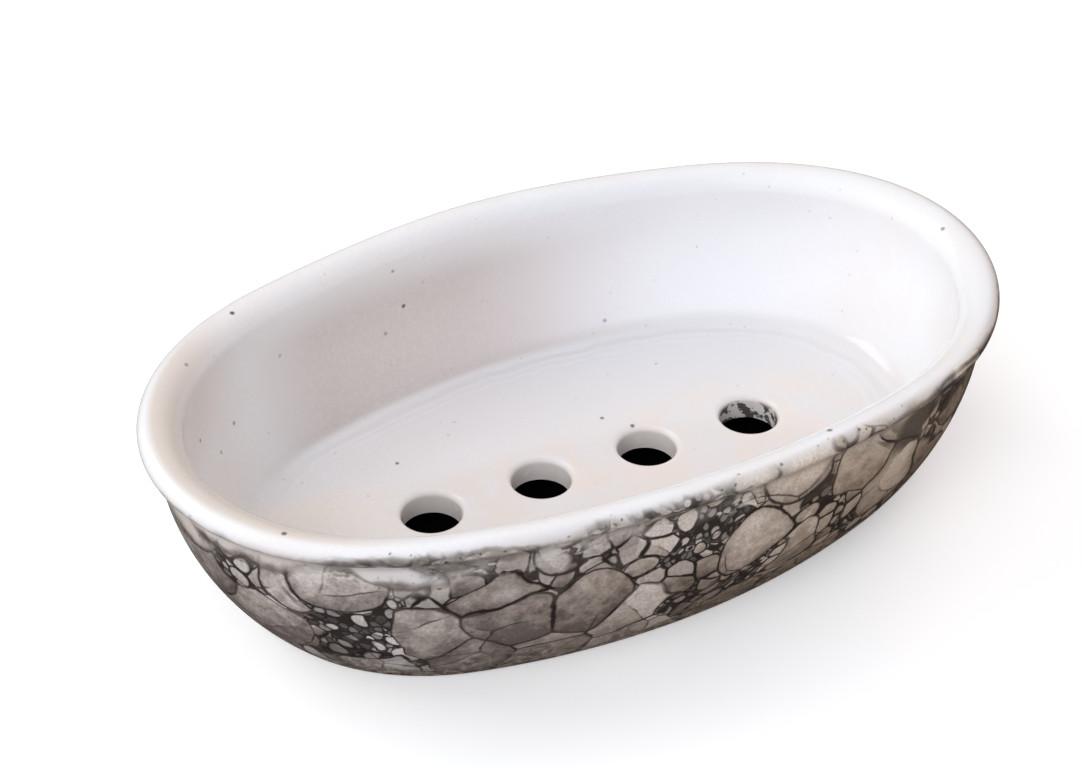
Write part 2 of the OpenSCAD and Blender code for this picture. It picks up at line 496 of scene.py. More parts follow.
floor_rim = Vector((cove_mid.x - FLOOR_EDGE, FLOOR_H))
floor_rows = [Vector((cove_mid.x - i, FLOOR_H)) for i in range(1, FLOOR_EDGE + 1)]
inside = sweep("white_glaze_coat", bowl_path(0) + floor_rows)
inside = joined(inside, mouths("mouth", mouth_rows(0, under_h)))
fill_level(inside, FLOOR_H)
report(inside)
coated(inside)
report(inside)

# %% [markdown]
# ## The clay
# Almost all of the clay is under glaze. It shows on the underside of the floor and on the foot,
# where the glaze was wiped off so that the dish wouldn't stick to the kiln shelf. The bowl is
# one closed section swept round, with its floor filled above and below. The foot ring is swept
# from its own section, rounded at both edges and ground flat.

# %% Bowl of clay
bowl_outline = (bow_path(GLAZE_T, 12) + edge_path(GLAZE_T, 5)[1:] + bowl_path(GLAZE_T, 6)[1:]
                + [Vector((floor_rim.x, FLOOR_H - GLAZE_T))])
bowl_outline = [p for p in bowl_outline if p.y >= under_h]
first = bow_mid + clay_r * way_to(under_angle)
clay = sweep("clay_bowl", [Vector((floor_rim.x, under_h)), first] + bowl_outline)
clay = joined(clay, mouths("clay_mouth", mouth_rows(GLAZE_T, under_h)[:-1]
                           + [Vector((DRAIN_D / 2 + GLAZE_T, under_h)),
                              Vector((DRAIN_D / 2 + DRAIN_SOFT, under_h))],
                           CLAY_MOUTH_STEPS))
for height in (FLOOR_H - GLAZE_T, under_h):
    fill_level(clay, height)
smoothed(clay)
report(clay)

# %% Foot ring
outer_foot = Vector((corner_mid.x, corner_h))
inner_foot = Vector((corner_mid.x - FOOT_W + FOOT_EDGE, corner_h))
foot_outline = ([Vector((inner_foot.x - FOOT_EDGE, under_h))]
                + arc(inner_foot, FOOT_EDGE, 180, 180 + ground_angle, 6)
                + arc(outer_foot, FOOT_EDGE, -ground_angle, corner_angle, 6)
                + arc(bow_mid, clay_r, wiped_angle, under_angle, 4))
foot = sweep("clay_foot", foot_outline, closed=True)
smoothed(foot)
report(foot)

# %% [markdown]
# ## Places on the section
# The glazes meet along the lip, pool in the neck and are wiped off at the foot, wherever the
# hand-made rim happens to run, and the tool's rings follow the oval. So before the dish is bent,
# every vertex keeps its place on the section as an attribute: X out from the lip's edge and Z up
# from the table, in millimetres. The materials read it beside the object coordinates.

# %% Section places
def from_edge(x, y):
    """How far a place lies out from the lip's edge, on the oval before it is pulled long."""
    x, y = abs(x / STRETCH), abs(y)
    if math.atan2(y, x - END_MID) < JOINT:
        return math.hypot(x - END_MID, y) - END_R
    return math.hypot(x, y + SIDE_MID) - SIDE_R


for piece in (outside, inside, clay, foot):
    section = piece.data.attributes.new("section", "FLOAT_VECTOR", "POINT")
    for vertex, item in zip(piece.data.vertices, section.data):
        x, y, z = vertex.co / MM
        item.vector = (from_edge(x, y), 0, z)
    print(piece.name, "keeps", len(section.data), "places")

# %% [markdown]
# ## The hand of the potter
# A thrown dish is never quite true: this one's rim sags a little at the front and leans out at
# the left. A lattice round the whole dish has its top layer moved by a millimetre or two, and
# the same lattice shapes every piece, so that clay and glaze stay together. Its lowest layer
# stays put, so the foot stays flat.

# %% Lattice
CAGE_SIZE = (144, 88, 37)
RIM_MOVES = (((-2.0, -1.0, -1.8), (-1.5, -0.1, -0.4), (-1.6, 1.2, 1.1)),
             ((-1.6, 0.3, -0.3), (-1.4, -0.2, -0.8), (-1.1, -0.8, -1.5)),
             ((-0.6, -0.1, -0.2), (-0.5, 0.1, 0.1), (-0.1, 0.3, 0.7)),
             ((0.3, -1.3, -0.6), (-0.1, -0.6, -0.5), (-0.2, -1.0, -1.1)),
             ((-0.7, -1.9, -2.2), (0.0, 0.1, 0.6), (0.7, -0.9, -0.2)))
COLUMNS, ROWS, LAYERS = 5, 3, 3
bpy.ops.object.add(type="LATTICE", location=(0, 0, MM * CAGE_SIZE[2] / 2))
cage = bpy.context.object
cage.scale = [MM * v for v in CAGE_SIZE]
cage.data.points_u, cage.data.points_v, cage.data.points_w = COLUMNS, ROWS, LAYERS
for u, row in enumerate(RIM_MOVES):
    for v, move in enumerate(row):
        point = cage.data.points[((LAYERS - 1) * ROWS + v) * COLUMNS + u]
        point.co_deform += Vector([m / size for m, size in zip(move, CAGE_SIZE)])
bpy.context.view_layer.update()
for piece in (outside, inside, clay, foot):
    apply_modifier(piece, "LATTICE", "hand", object=cage)
    report(piece)
bpy.data.objects.remove(cage)

# %% [markdown]
# ## Tools for the glazes
# A glaze is a thin glass over clay, and its look comes from where its colour sits. These helpers
# build the masks for that. All of them work in millimetres, so a size in the node tree is a size
# on the dish.

# %% Helpers for places
def scaled(tree, place, by):
    return vector_maths(tree, "SCALE", {0: place, "Scale": by})[0]


def moved(tree, place, by):
    return vector_maths(tree, "ADD", {0: place, 1: by})[0]


def stretched(tree, place, by):
    return vector_maths(tree, "MULTIPLY", {0: place, 1: by})[0]


def far_from(tree, place, spot):
    """How far a place is from a spot."""
    return vector_maths(tree, "DISTANCE", {0: place, 1: spot})["Value"]


def object_mm(tree):
    """Object coordinates in millimetres."""
    return scaled(tree, node(tree, "TexCoord").outputs["Object"], 1 / MM)


def section_mm(tree):
    """The place on the section that each vertex keeps."""
    return node(tree, "Attribute", attribute_name="section").outputs["Vector"]


def parts(tree, vector):
    """The X, Y and Z of a vector."""
    return node(tree, "SeparateXYZ", {0: vector}).outputs


print("Place helpers are ready")

# %% Helpers for chance
SEED_STEP = (31.7, 17.3, 23.9)


def noise(tree, place, size, detail=2.0, rough=0.5, seed=0.0, colour=False):
    """Noise with features about that many millimetres wide."""
    if seed:
        place = moved(tree, place, [seed * step for step in SEED_STEP])
    made = node(tree, "TexNoise", {"Vector": place, "Scale": 1 / size, "Detail": detail,
                                   "Roughness": rough})
    return made.outputs["Color" if colour else "Fac"]


def wobbled(tree, place, size, amount, seed=0.0):
    """Moves places to and fro, so that what is drawn there gets a hand-made line."""
    sway = moved(tree, noise(tree, place, size, 1.0, seed=seed, colour=True), (-0.5, -0.5, -0.5))
    return moved(tree, place, scaled(tree, sway, amount))


def cells(tree, place, scale, feature="F1"):
    """A Voronoi node's outputs."""
    return node(tree, "TexVoronoi", {"Vector": place, "Scale": scale}, feature=feature).outputs


def chances(tree, colour):
    """Three chance values from the colour of a cell."""
    return node(tree, "SeparateColor", {0: colour}).outputs


print("Chance helpers are ready")

# %% Helpers for groups and masks
def new_group(name, takes, gives):
    """A node group, with the sockets that it takes and the node that it gives through."""
    group = bpy.data.node_groups.new(name, "ShaderNodeTree")
    for side, sockets in (("INPUT", takes), ("OUTPUT", gives)):
        for label, kind in sockets:
            group.interface.new_socket(name=label, in_out=side, socket_type="NodeSocket" + kind)
    return group, node(group, "NodeGroupInput").outputs, node(group, "NodeGroupOutput")


def group_node(tree, group, inputs):
    made = tree.nodes.new("ShaderNodeGroup")
    made.node_tree = group
    for key, value in inputs.items():
        if isinstance(value, bpy.types.NodeSocket):
            tree.links.new(value, made.inputs[key])
        else:
            made.inputs[key].default_value = value
    return made.outputs


def give_out(tree, give, **values):
    """Links what a group gives to its outputs."""
    for name, value in values.items():
        tree.links.new(value, give.inputs[name])


def tones(tree, factor, *stops):
    """A colour ramp from (position, colour) stops."""
    made = node(tree, "ValToRGB", {0: factor})
    band = made.color_ramp.elements
    while len(band) < len(stops):
        band.new(1.0)
    for element, (position, colour) in zip(band, stops):
        element.position, element.color = position, colour
    return made.outputs[0]


def both(tree, *masks):
    """Where all the masks meet."""
    mask = masks[0]
    for other in masks[1:]:
        mask = maths(tree, "MULTIPLY", mask, other)
    return mask


def dots(tree, place, spacing, least, most, share, strength, seed):
    """Specks scattered about that many millimetres apart: a mask, and a chance for each one."""
    swayed = wobbled(tree, moved(tree, place, (seed, 0, seed)), 1.0, 0.5, seed)
    found = cells(tree, swayed, 1 / spacing)
    chance = chances(tree, found["Color"])
    radius = maths(tree, "MULTIPLY_ADD", chance[1], (most - least) / spacing, least / spacing)
    mask = ramp(tree, maths(tree, "DIVIDE", found["Distance"], radius), 0.5, 1.1, 1.0, 0.0)
    return both(tree, mask, ramp(tree, chance[0], 1 - share, 1.02 - share), strength), chance[2]


print("Mask helpers are ready")

# %% [markdown]
# ## One layer of bubbles
# The outside was made with soap bubbles blown in coloured glaze and let burst against the clay.
# A foam packs as a Voronoi pattern does: flat walls between neighbours. But a bubble also has a
# radius of its own, which cuts its corners off and leaves pockets at the junctions. The layer
# gives the distance inside the nearest bubble's outline, negative in a pocket, and some chance
# values that belong to the bubble as a whole. Where bubbles crowd is chance too, but two crowds
# are placed at the front, and the right end has few.

# %% Foam layer
CROWD_NOISE, CROWD_FROM, CROWD_TO = 15.0, 0.5, 0.64
CROWDS = ((-53, -27, 20, 10), (-2, -41, 25, 9))
FEW_AT_RIGHT = (28.0, 42.0, 1.0, 0.1)
RADIUS_SPREAD, ROUNDING = 0.35, 0.14
foam, take, give = new_group(
    "foam_layer", [("Place", "Vector"), ("Shift", "Vector"), ("Size", "Float"),
                   ("Radius", "Float"), ("Crowding", "Float")],
    [("Inside", "Float"), ("Chance", "Color"), ("Lean", "Float"), ("Crowd", "Float")])
tree, size, shift = foam, take["Size"], take["Shift"]
small = scaled(tree, moved(tree, take["Place"], shift), maths(tree, "DIVIDE", 1.0, size))
bubble = cells(tree, small, 1.0)
walls = cells(tree, small, 1.0, feature="DISTANCE_TO_EDGE")
middle = scaled(tree, bubble["Position"], size)
middle = vector_maths(tree, "SUBTRACT", {0: middle, 1: shift})[0]
crowd = ramp(tree, noise(tree, middle, CROWD_NOISE, 1.0, seed=3), CROWD_FROM, CROWD_TO)
crowd = both(tree, crowd, ramp(tree, parts(tree, middle)[0], *FEW_AT_RIGHT))
for x, y, z, radius in CROWDS:
    near = ramp(tree, far_from(tree, middle, (x, y, z)), 0.5 * radius, radius, 1.0, 0.0)
    crowd = maths(tree, "MAXIMUM", crowd, near)
own_radius = maths(tree, "MULTIPLY_ADD", chances(tree, bubble["Color"])[0], RADIUS_SPREAD,
                   take["Radius"])
own_radius = maths(tree, "SUBTRACT", own_radius, both(tree, crowd, take["Crowding"]))
in_radius = maths(tree, "SUBTRACT", own_radius, bubble["Distance"])
inside_of = maths(tree, "SMOOTH_MIN", walls["Distance"], in_radius, ROUNDING)
offset = vector_maths(tree, "SUBTRACT", {0: small, 1: bubble["Position"]})[0]
give_out(tree, give, Inside=both(tree, inside_of, size), Chance=bubble["Color"],
         Lean=parts(tree, offset)[2], Crowd=crowd)
print("Foam layer has", len(foam.nodes), "nodes")

# %% [markdown]
# ## The bubble pattern
# Big bubbles come first. Their pockets are packed with middling ones, and the pockets of those
# with tiny ones. The places are swayed before the foam is drawn on them, so that no wall between
# two bubbles is straight. The group also works out how far a place lies below the crest and how
# far past it, because the pattern changes as it nears the lip.

# %% Bubbles of three sizes
BIG, MIDDLING, TINY = 12.0, 4.2, 1.6
pattern, take, give = new_group(
    "bubble_pattern", [("Place", "Vector"), ("Section", "Vector")],
    [("Colour", "Color"), ("Cover", "Float"), ("Rough", "Float"), ("Height", "Float")])
tree, place = pattern, take["Place"]
along, across, _ = parts(tree, place)
out, _, height = parts(tree, take["Section"])
drop = maths(tree, "SUBTRACT", DISH_H, height)
past_crest = maths(tree, "MULTIPLY_ADD", drop, 0.5, maths(tree, "ADD", out, LIP_R))
bent = wobbled(tree, wobbled(tree, place, 13.0, 8.0), 1.7, 0.45, seed=2)


def foam_at(size, radius, crowding, shift):
    """A layer of foam: how far inside a bubble, its chances, its lean and the crowding."""
    made = group_node(tree, foam, {"Place": bent, "Shift": shift, "Size": size,
                                   "Radius": radius, "Crowding": crowding})
    return made["Inside"], chances(tree, made["Chance"]), made["Lean"], made["Crowd"]


big, big_chance, big_lean, crowd = foam_at(BIG, 0.60, 0.9, (0, 0, 0))
mid, mid_chance, mid_lean, _ = foam_at(MIDDLING, 0.56, 0.42, (40, 0, 9))
tiny, tiny_chance, _, _ = foam_at(TINY, 0.44, 0.0, (7, 55, 0))
print("Bubbles about", BIG, MIDDLING, "and", TINY, "mm wide")

# %% [markdown]
# ## Lines between the bubbles
# The colour gathers where bubbles touch. A line is thick in one place and a hair in the next, and
# it is thickest in the crowds, where it runs together into nearly black pockets. So the line's
# width is a noise of its own, and each size of bubble is cleared of it with a soft edge.

# %% Lines
FINEST, BROADEST, MORE_IN_CROWDS = 0.02, 0.2, 0.08
SOFT_BIG, SOFT_MID, SOFT_TINY = 0.36, 0.28, 0.22
width = ramp(tree, noise(tree, place, 5.0, 2.0, seed=4), 0.35, 0.7, FINEST, BROADEST)
width = maths(tree, "MULTIPLY_ADD", crowd, MORE_IN_CROWDS, width)
past_big = maths(tree, "MULTIPLY", big, -1.0)
in_mid = maths(tree, "MINIMUM", mid, past_big)
in_tiny = maths(tree, "MINIMUM", tiny, maths(tree, "MULTIPLY", mid, -1.0))
in_tiny = maths(tree, "MINIMUM", in_tiny, past_big)


def clear_of(inside, line, soft):
    """One inside a bubble and nought on its outline."""
    share = maths(tree, "DIVIDE", maths(tree, "SUBTRACT", inside, line), soft)
    return ramp(tree, share, 0.0, 1.0)


clear_big = clear_of(big, width, SOFT_BIG)
clear_mid = clear_of(in_mid, maths(tree, "MULTIPLY", width, 0.7), SOFT_MID)
clear_tiny = clear_of(in_tiny, FINEST, SOFT_TINY)
print("Lines are", FINEST, "to", BROADEST + MORE_IN_CROWDS, "mm to each side")

# %% [markdown]
# ## Washes and ink
# Every bubble holds its own wash of grey or taupe. It ran a little while it was wet, so it is
# darker at the bubble's foot, and it is paler towards the lip, where less colour stuck. The ink
# of the lines is near black in some places and thinned to grey in others. The edge of a big
# bubble has a darker rim, as a puddle does when it dries.

# %% Washes and ink
WASHES = ((0.0, rgb(0.86, 0.84, 0.825)), (0.24, rgb(0.79, 0.755, 0.725)),
          (0.48, rgb(0.60, 0.553, 0.515)), (0.75, rgb(0.43, 0.39, 0.358)),
          (1.0, rgb(0.25, 0.228, 0.214)))
DOT_TONES = ((0.0, rgb(0.8, 0.8, 0.82)), (0.3, rgb(0.42, 0.41, 0.41)), (0.75, rgb(0.10, 0.1, 0.1)))
BLUE_INK, BROWN_INK = rgb(0.027, 0.025, 0.029), rgb(0.055, 0.043, 0.035)
THIN_INK, DRIED_RIM = rgb(0.17, 0.148, 0.135), rgb(0.45, 0.42, 0.40)
LEFT_PART = (-20.0, -44.0)
STAINING, RUNNING, MID_DARKER = 0.24, -0.4, -0.12
stain = ramp(tree, noise(tree, place, 2.6, 4.0, 0.62, 6), 0.3, 0.7, -STAINING, STAINING)
paler = maths(tree, "ADD", ramp(tree, drop, 2.0, 19.0, -0.44, -0.08, smooth=False),
              ramp(tree, along, *LEFT_PART, 0.0, 0.12))


def wash(chance, lean, shift):
    """The wash inside a bubble: its own tone, darker where it ran, paler by the lip, stained."""
    tone = maths(tree, "ADD", chance[1], maths(tree, "ADD", paler, shift))
    tone = maths(tree, "MULTIPLY_ADD", lean, RUNNING, tone)
    return tones(tree, maths(tree, "ADD", tone, stain), *WASHES)


ink = blended(tree, noise(tree, place, 9.0, 1.0, seed=5), BLUE_INK, BROWN_INK)
thinned = maths(tree, "ADD", noise(tree, place, 6.5, 2.0, seed=7), crowd)
ink = blended(tree, ramp(tree, thinned, 0.62, 0.42, 0.0, 0.75), ink, THIN_INK)
colour = blended(tree, clear_tiny, ink, tones(tree, tiny_chance[1], *DOT_TONES))
colour = blended(tree, clear_mid, colour, wash(mid_chance, mid_lean, MID_DARKER))
colour = blended(tree, clear_big, colour, wash(big_chance, big_lean, 0.0))
dried = both(tree, ramp(tree, big, 0.1, 2.6, 1.0, 0.0),
             ramp(tree, big_chance[2], 0.1, 0.9, 0.0, 0.75))
colour = blended(tree, dried, colour, DRIED_RIM, "MULTIPLY")
print("Washes and ink are mixed,", len(tree.nodes), "nodes so far")

# %% [markdown]
# ## What lies over the foam
# A fainter second foam crosses the first, as later bubbles did on the real dish, with faint lines
# and a veil over some of its bubbles. Just above the foot the colour turns into a darker mottled
# band. A fine grain goes over everything, and so does a tint of painted light: warmer towards the
# right end, as warm bounce light would make it, and a little cooler at the left.

# %% Second foam, low band and grain
SECOND = 15.0
VEIL, FAINT_LINE = rgb(0.50, 0.465, 0.43), rgb(0.06, 0.052, 0.05)
MOTTLES = ((0.38, rgb(0.035, 0.028, 0.024)), (0.49, rgb(0.17, 0.145, 0.12)),
           (0.6, rgb(0.62, 0.57, 0.50)))
PAINTED_COOL_LIGHT, PAINTED_WARM_BOUNCE = rgb(1.0, 0.985, 1.0), rgb(1.13, 0.98, 0.80)
BAND_FROM, BAND_TO, BAND_RAGGED = 8.5, 3.5, 3.5
second, second_chance, _, _ = foam_at(SECOND, 0.7, 0.0, (13, 90, 31))
faint = both(tree, maths(tree, "SUBTRACT", 1.0, ramp(tree, second, 0.02, 0.28)),
             ramp(tree, noise(tree, place, 8.0, 1.0, seed=8), 0.4, 0.6, 0.0, 0.85))
veil = ramp(tree, second_chance[2], 0.5, 0.56, 0.0, 0.45)
colour = blended(tree, veil, colour, VEIL, "MULTIPLY")
colour = blended(tree, faint, colour, FAINT_LINE)

# Just above the foot the colour turns into a darker mottled band.
rough_edge = ramp(tree, noise(tree, place, 5.0, 2.0, seed=9), 0.3, 0.7, -BAND_RAGGED, BAND_RAGGED)
low = ramp(tree, maths(tree, "ADD", height, rough_edge), BAND_TO, BAND_FROM, 0.7, 0.0)
colour = blended(tree, low, colour,
                 tones(tree, noise(tree, place, 1.4, 3.0, 0.7, seed=10), *MOTTLES))
# Painted light: the outside is warmed towards the right end, as by warm bounce light, and cooled a
# little at the left.
painted_light_tint = blended(tree, ramp(tree, along, -60.0, 55.0), PAINTED_COOL_LIGHT, PAINTED_WARM_BOUNCE)
colour = blended(tree, 1.0, colour, painted_light_tint, "MULTIPLY")
grain = ramp(tree, noise(tree, place, 0.5, 3.0, 0.7, seed=11), 0.3, 0.7, 0.8, 1.12)
grain = node(tree, "CombineColor", {0: grain, 1: grain, 2: grain}).outputs[0]
colour = blended(tree, 1.0, colour, grain, "MULTIPLY")
print("Second foam and band are laid over,", len(tree.nodes), "nodes so far")

# %% [markdown]
# ## Where the glazes meet
# The white glaze ran over the pattern's upper edge by a different amount all round the dish: a
# little over the lip at the front, and down to the neck at the left end. `faded` is the distance
# past that ragged edge. It makes four things: how far the pattern covers the white, a milky veil
# where the two mixed, a brown line at both ends that is partly painted shade under the lip, and
# loose flecks of colour that floated up. Colour also pooled in the neck at the ends, darkened
# further there as painted shade under the lip, and it is smudged just under the lip at the left.

# %% Smudges, and pool with painted shade
SMUDGE_PALE, SMUDGE_BROWN = rgb(0.72, 0.69, 0.66), rgb(0.15, 0.115, 0.09)
RIGHT_PART, LEFT_TIP = (22.0, 42.0), (-44.0, -60.0)
smudged = both(tree, ramp(tree, past_crest, 2.2, 3.0), ramp(tree, drop, 9.0, 5.0),
               ramp(tree, along, 20.0, 0.0),
               ramp(tree, noise(tree, place, 11.0, 1.0, seed=12), 0.48, 0.58))
smudge = noise(tree, stretched(tree, place, (0.7, 0.7, 1.3)), 1.1, 3.0, 0.6, seed=13)
colour = blended(tree, both(tree, smudged, ramp(tree, smudge, 0.5, 0.38)), colour, SMUDGE_PALE)
colour = blended(tree, both(tree, smudged, ramp(tree, smudge, 0.48, 0.62), 0.8), colour,
                 SMUDGE_BROWN)
under_lip = ramp(tree, drop, 1.1, 1.7)
at_right = ramp(tree, along, *RIGHT_PART)
# Dark glaze pooled in the neck at the ends, darkened further as painted shade under the
# overhanging lip.
pool_and_shade = both(tree, under_lip, ramp(tree, drop, 4.6, 3.7),
            maths(tree, "MAXIMUM", at_right, ramp(tree, along, *LEFT_TIP)),
            ramp(tree, noise(tree, place, 4.5, 2.0, seed=19), 0.36, 0.56, 0.35, 0.9))
print("Smudges and pool are ready")

# %% The edge of the white
SEAM_FRONT, SEAM_BACK = (-50.0, 45.0, 1.7, 0.75), (-22.0, -6.0, 0.0, 2.3)
SEAM_LEFT, SEAM_RIGHT = (-48.0, -62.0, 0.0, 2.9), (26.0, 56.0, 0.0, 1.7)
seam = maths(tree, "MAXIMUM", ramp(tree, along, *SEAM_FRONT), ramp(tree, across, *SEAM_BACK))
seam = maths(tree, "MAXIMUM", seam, ramp(tree, along, *SEAM_LEFT))
seam = maths(tree, "MAXIMUM", seam, ramp(tree, along, *SEAM_RIGHT))
calm_end = ramp(tree, along, 28.0, 46.0, 1.0, 0.25)
ragged = both(tree, ramp(tree, noise(tree, place, 6.0, 3.0, 0.5, seed=14), 0.3, 0.7, -0.4, 0.4),
              calm_end)
deep = both(tree, ramp(tree, noise(tree, place, 13.0, 1.0, seed=15), 0.54, 0.66, 0.0, 1.6),
            calm_end)
faded = maths(tree, "SUBTRACT", maths(tree, "ADD", past_crest, ragged),
              maths(tree, "ADD", seam, deep))
cover = ramp(tree, faded, -0.45, 0.9)
print("The white reaches", SEAM_FRONT[3], "to", SEAM_LEFT[3], "mm past the crest")

# %% Veil, brown line with painted shade, and flecks
MILKY, POOLED_AND_SHADE = rgb(0.73, 0.69, 0.655), rgb(0.035, 0.028, 0.024)
SEAM_BROWN_AND_SHADE, FLECK_BROWN = rgb(0.085, 0.064, 0.050), rgb(0.06, 0.045, 0.035)
LINE_AT, LINE_CORE, LINE_EDGE = 0.65, 0.15, 0.6
FLECK_SCALE = 0.9
milky = both(tree, ramp(tree, faded, 2.6, 0.2), ramp(tree, along, 52.0, 34.0),
             ramp(tree, along, -60.0, -34.0, 0.4, 1.0),
             ramp(tree, noise(tree, place, 5.0, 2.0, seed=18), 0.4, 0.6, 0.15, 0.85))
colour = blended(tree, milky, colour, MILKY)
colour = blended(tree, pool_and_shade, colour, POOLED_AND_SHADE)
off_line = maths(tree, "ABSOLUTE", maths(tree, "SUBTRACT", faded, LINE_AT))
at_ends = maths(tree, "MAXIMUM", ramp(tree, along, 22.0, 46.0, 0.0, 0.9),
                ramp(tree, along, *LEFT_PART, 0.0, 0.75))
# A brown line along the seam at both ends: partly glaze gathered at the seam, partly painted shade
# under the overhanging lip.
seam_line_and_shade = both(tree, ramp(tree, off_line, LINE_CORE, LINE_EDGE, 1.0, 0.0), at_ends,
                 ramp(tree, noise(tree, place, 7.0, 2.0, seed=19), 0.34, 0.52, 0.3, 1.0))
colour = blended(tree, seam_line_and_shade, colour, SEAM_BROWN_AND_SHADE)

flecks = cells(tree, wobbled(tree, place, 1.2, 0.9, seed=16), FLECK_SCALE)
by_seam = both(tree, ramp(tree, faded, -0.6, 0.0), ramp(tree, faded, 0.8, 2.0, 0.85, 0.0))
fleck = both(tree, ramp(tree, flecks["Distance"], 0.12, 0.34, 1.0, 0.0),
             ramp(tree, chances(tree, flecks["Color"])[0], 0.66, 0.7), calm_end, by_seam)
colour = blended(tree, fleck, colour, FLECK_BROWN)
cover = maths(tree, "MAXIMUM", cover, fleck)
cover = maths(tree, "MAXIMUM", cover, both(tree, under_lip, at_right))
print("Veil, line and flecks are ready")

# %% [markdown]
# ## Gloss and relief of the pattern
# The washes are a satin glaze, a little duller than the white. The ink is drier still and stands
# up a few hundredths of a millimetre, and the mottled band above the foot is the driest.

# %% The pattern's gloss and relief
inked = maths(tree, "MAXIMUM", clear_big, maths(tree, "MAXIMUM", clear_mid, clear_tiny))
inked = maths(tree, "SUBTRACT", 1.0, inked)
satin = ramp(tree, noise(tree, place, 2.2, 2.0, seed=17), 0.3, 0.7, 0.14, 0.25)
satin = maths(tree, "MULTIPLY_ADD", low, 0.15, satin)
satin = maths(tree, "MULTIPLY_ADD", inked, 0.08, satin)
give_out(tree, give, Colour=colour, Cover=cover, Rough=satin, Height=both(tree, inked, cover))
print("Bubble pattern has", len(tree.nodes), "nodes")

# %% [markdown]
# ## The white glaze
# The inside was filled with white glaze and poured out again. It is glossy but it isn't one
# white. The clay warms it where it is thin, on the floor round the holes and on the inner roll at
# the left end, which also holds painted shade. The outer side of the crest is browner at the front
# and back. The floor is greyer with painted shade, the left of the back wall carries a brown
# painted shade, and low on the left end a cream patch is painted light. Noise alone would put
# these shades anywhere, so each has a mask made from places on the dish, and noise only breaks
# up its edges.

# %% Shades of the white
COOL_WHITE, WARM_WHITE = rgb(0.825, 0.82, 0.83), rgb(0.82, 0.795, 0.785)
BLUISH, FLOOR_PAINTED_SHADE, FINE_GREY = rgb(0.83, 0.835, 0.87), rgb(0.74, 0.72, 0.72), rgb(0.72, 0.70, 0.70)
THIN_AND_WARM, PAINTED_SHADE_BROWN = rgb(0.80, 0.72, 0.665), rgb(0.59, 0.52, 0.50)
PAINTED_BOUNCE_CREAM, PEACH_AND_SHADE, EDGE_BROWN = rgb(0.90, 0.84, 0.77), rgb(0.69, 0.60, 0.525), rgb(0.72, 0.62, 0.55)
white, take, give = new_group("white_glaze_look", [("Place", "Vector"), ("Section", "Vector")],
                              [("Colour", "Color"), ("Rough", "Float"), ("Height", "Float")])
tree, place = white, take["Place"]
x, y, _ = parts(tree, place)
out, _, height = parts(tree, take["Section"])
cloud = noise(tree, place, 16.0, 3.0, 0.55, seed=20)
colour = blended(tree, ramp(tree, cloud, 0.35, 0.65), COOL_WHITE, WARM_WHITE)
cool_back = both(tree, ramp(tree, y, 10.0, 25.0), ramp(tree, x, -20.0, 15.0),
                 ramp(tree, out, -2.0, -5.0), 0.8)
colour = blended(tree, cool_back, colour, BLUISH)
floor = ramp(tree, height, FLOOR_H + 0.5, FLOOR_H + 2.5, 1.0, 0.0)
# Painted shade: the floor is made greyer from the left end towards the middle and right.
colour = blended(tree, both(tree, floor, ramp(tree, x, -42.0, 0.0, 0.0, 0.75)), colour, FLOOR_PAINTED_SHADE)
patches = ramp(tree, noise(tree, place, 9.0, 2.0, seed=21), 0.43, 0.58, 0.3, 1.0)
warm_floor = both(tree, floor, patches, ramp(tree, y, 14.0, 2.0),
                  ramp(tree, x, 60.0, 25.0, 0.4, 0.9))
colour = blended(tree, warm_floor, colour, THIN_AND_WARM)
# Painted light: a lighter cream patch low on the left end's wall stands in for light bounced onto
# it.
painted_bounce_left_end = both(tree, ramp(tree, height, FLOOR_H + 12.0, FLOOR_H + 1.0),
                 ramp(tree, x, -26.0, -44.0), ramp(tree, y, 18.0, 11.0))
colour = blended(tree, painted_bounce_left_end, colour, PAINTED_BOUNCE_CREAM)
# A peach tint on the inner roll at the left end, partly a tint of the glaze and partly painted
# shade that darkens it.
peach_and_shade_flank = both(tree, ramp(tree, x, *LEFT_TIP), ramp(tree, out, -6.4, -3.8),
             ramp(tree, out, -0.9, -2.2), 0.86)
colour = blended(tree, peach_and_shade_flank, colour, PEACH_AND_SHADE)
# Painted shade: the left part of the back wall, from the floor up, is painted a darker brown where
# it faces away from the light.
painted_shade_back_wall = both(tree, ramp(tree, height, 34.5, 25.0),
                  ramp(tree, height, FLOOR_H, FLOOR_H + 0.8), ramp(tree, x, 36.0, -8.0),
                  ramp(tree, x, -50.0, -30.0), ramp(tree, y, 6.0, 20.0), 0.95)
colour = blended(tree, painted_shade_back_wall, colour, PAINTED_SHADE_BROWN)
rim_edge = both(tree, ramp(tree, out, -1.5, -0.3), ramp(tree, x, -20.0, 20.0), 0.6)
colour = blended(tree, rim_edge, colour, EDGE_BROWN)
fine = both(tree, ramp(tree, noise(tree, place, 0.7, 3.0, 0.65, seed=22), 0.35, 0.7, 0.0, 0.26),
            ramp(tree, x, 45.0, -30.0, 0.3, 1.0))
colour = blended(tree, fine, colour, FINE_GREY)
print("Shades of the white are mixed,", len(tree.nodes), "nodes so far")

# %% [markdown]
# ## Specks and splashes
# Iron in the clay comes up through the white as specks. The small ones are scattered by chance,
# and the larger ones are placed one by one, each with its place, radius and strength. The glaze
# lies thin on the walls of the drain holes, and dark glaze splashed into the one at the right.

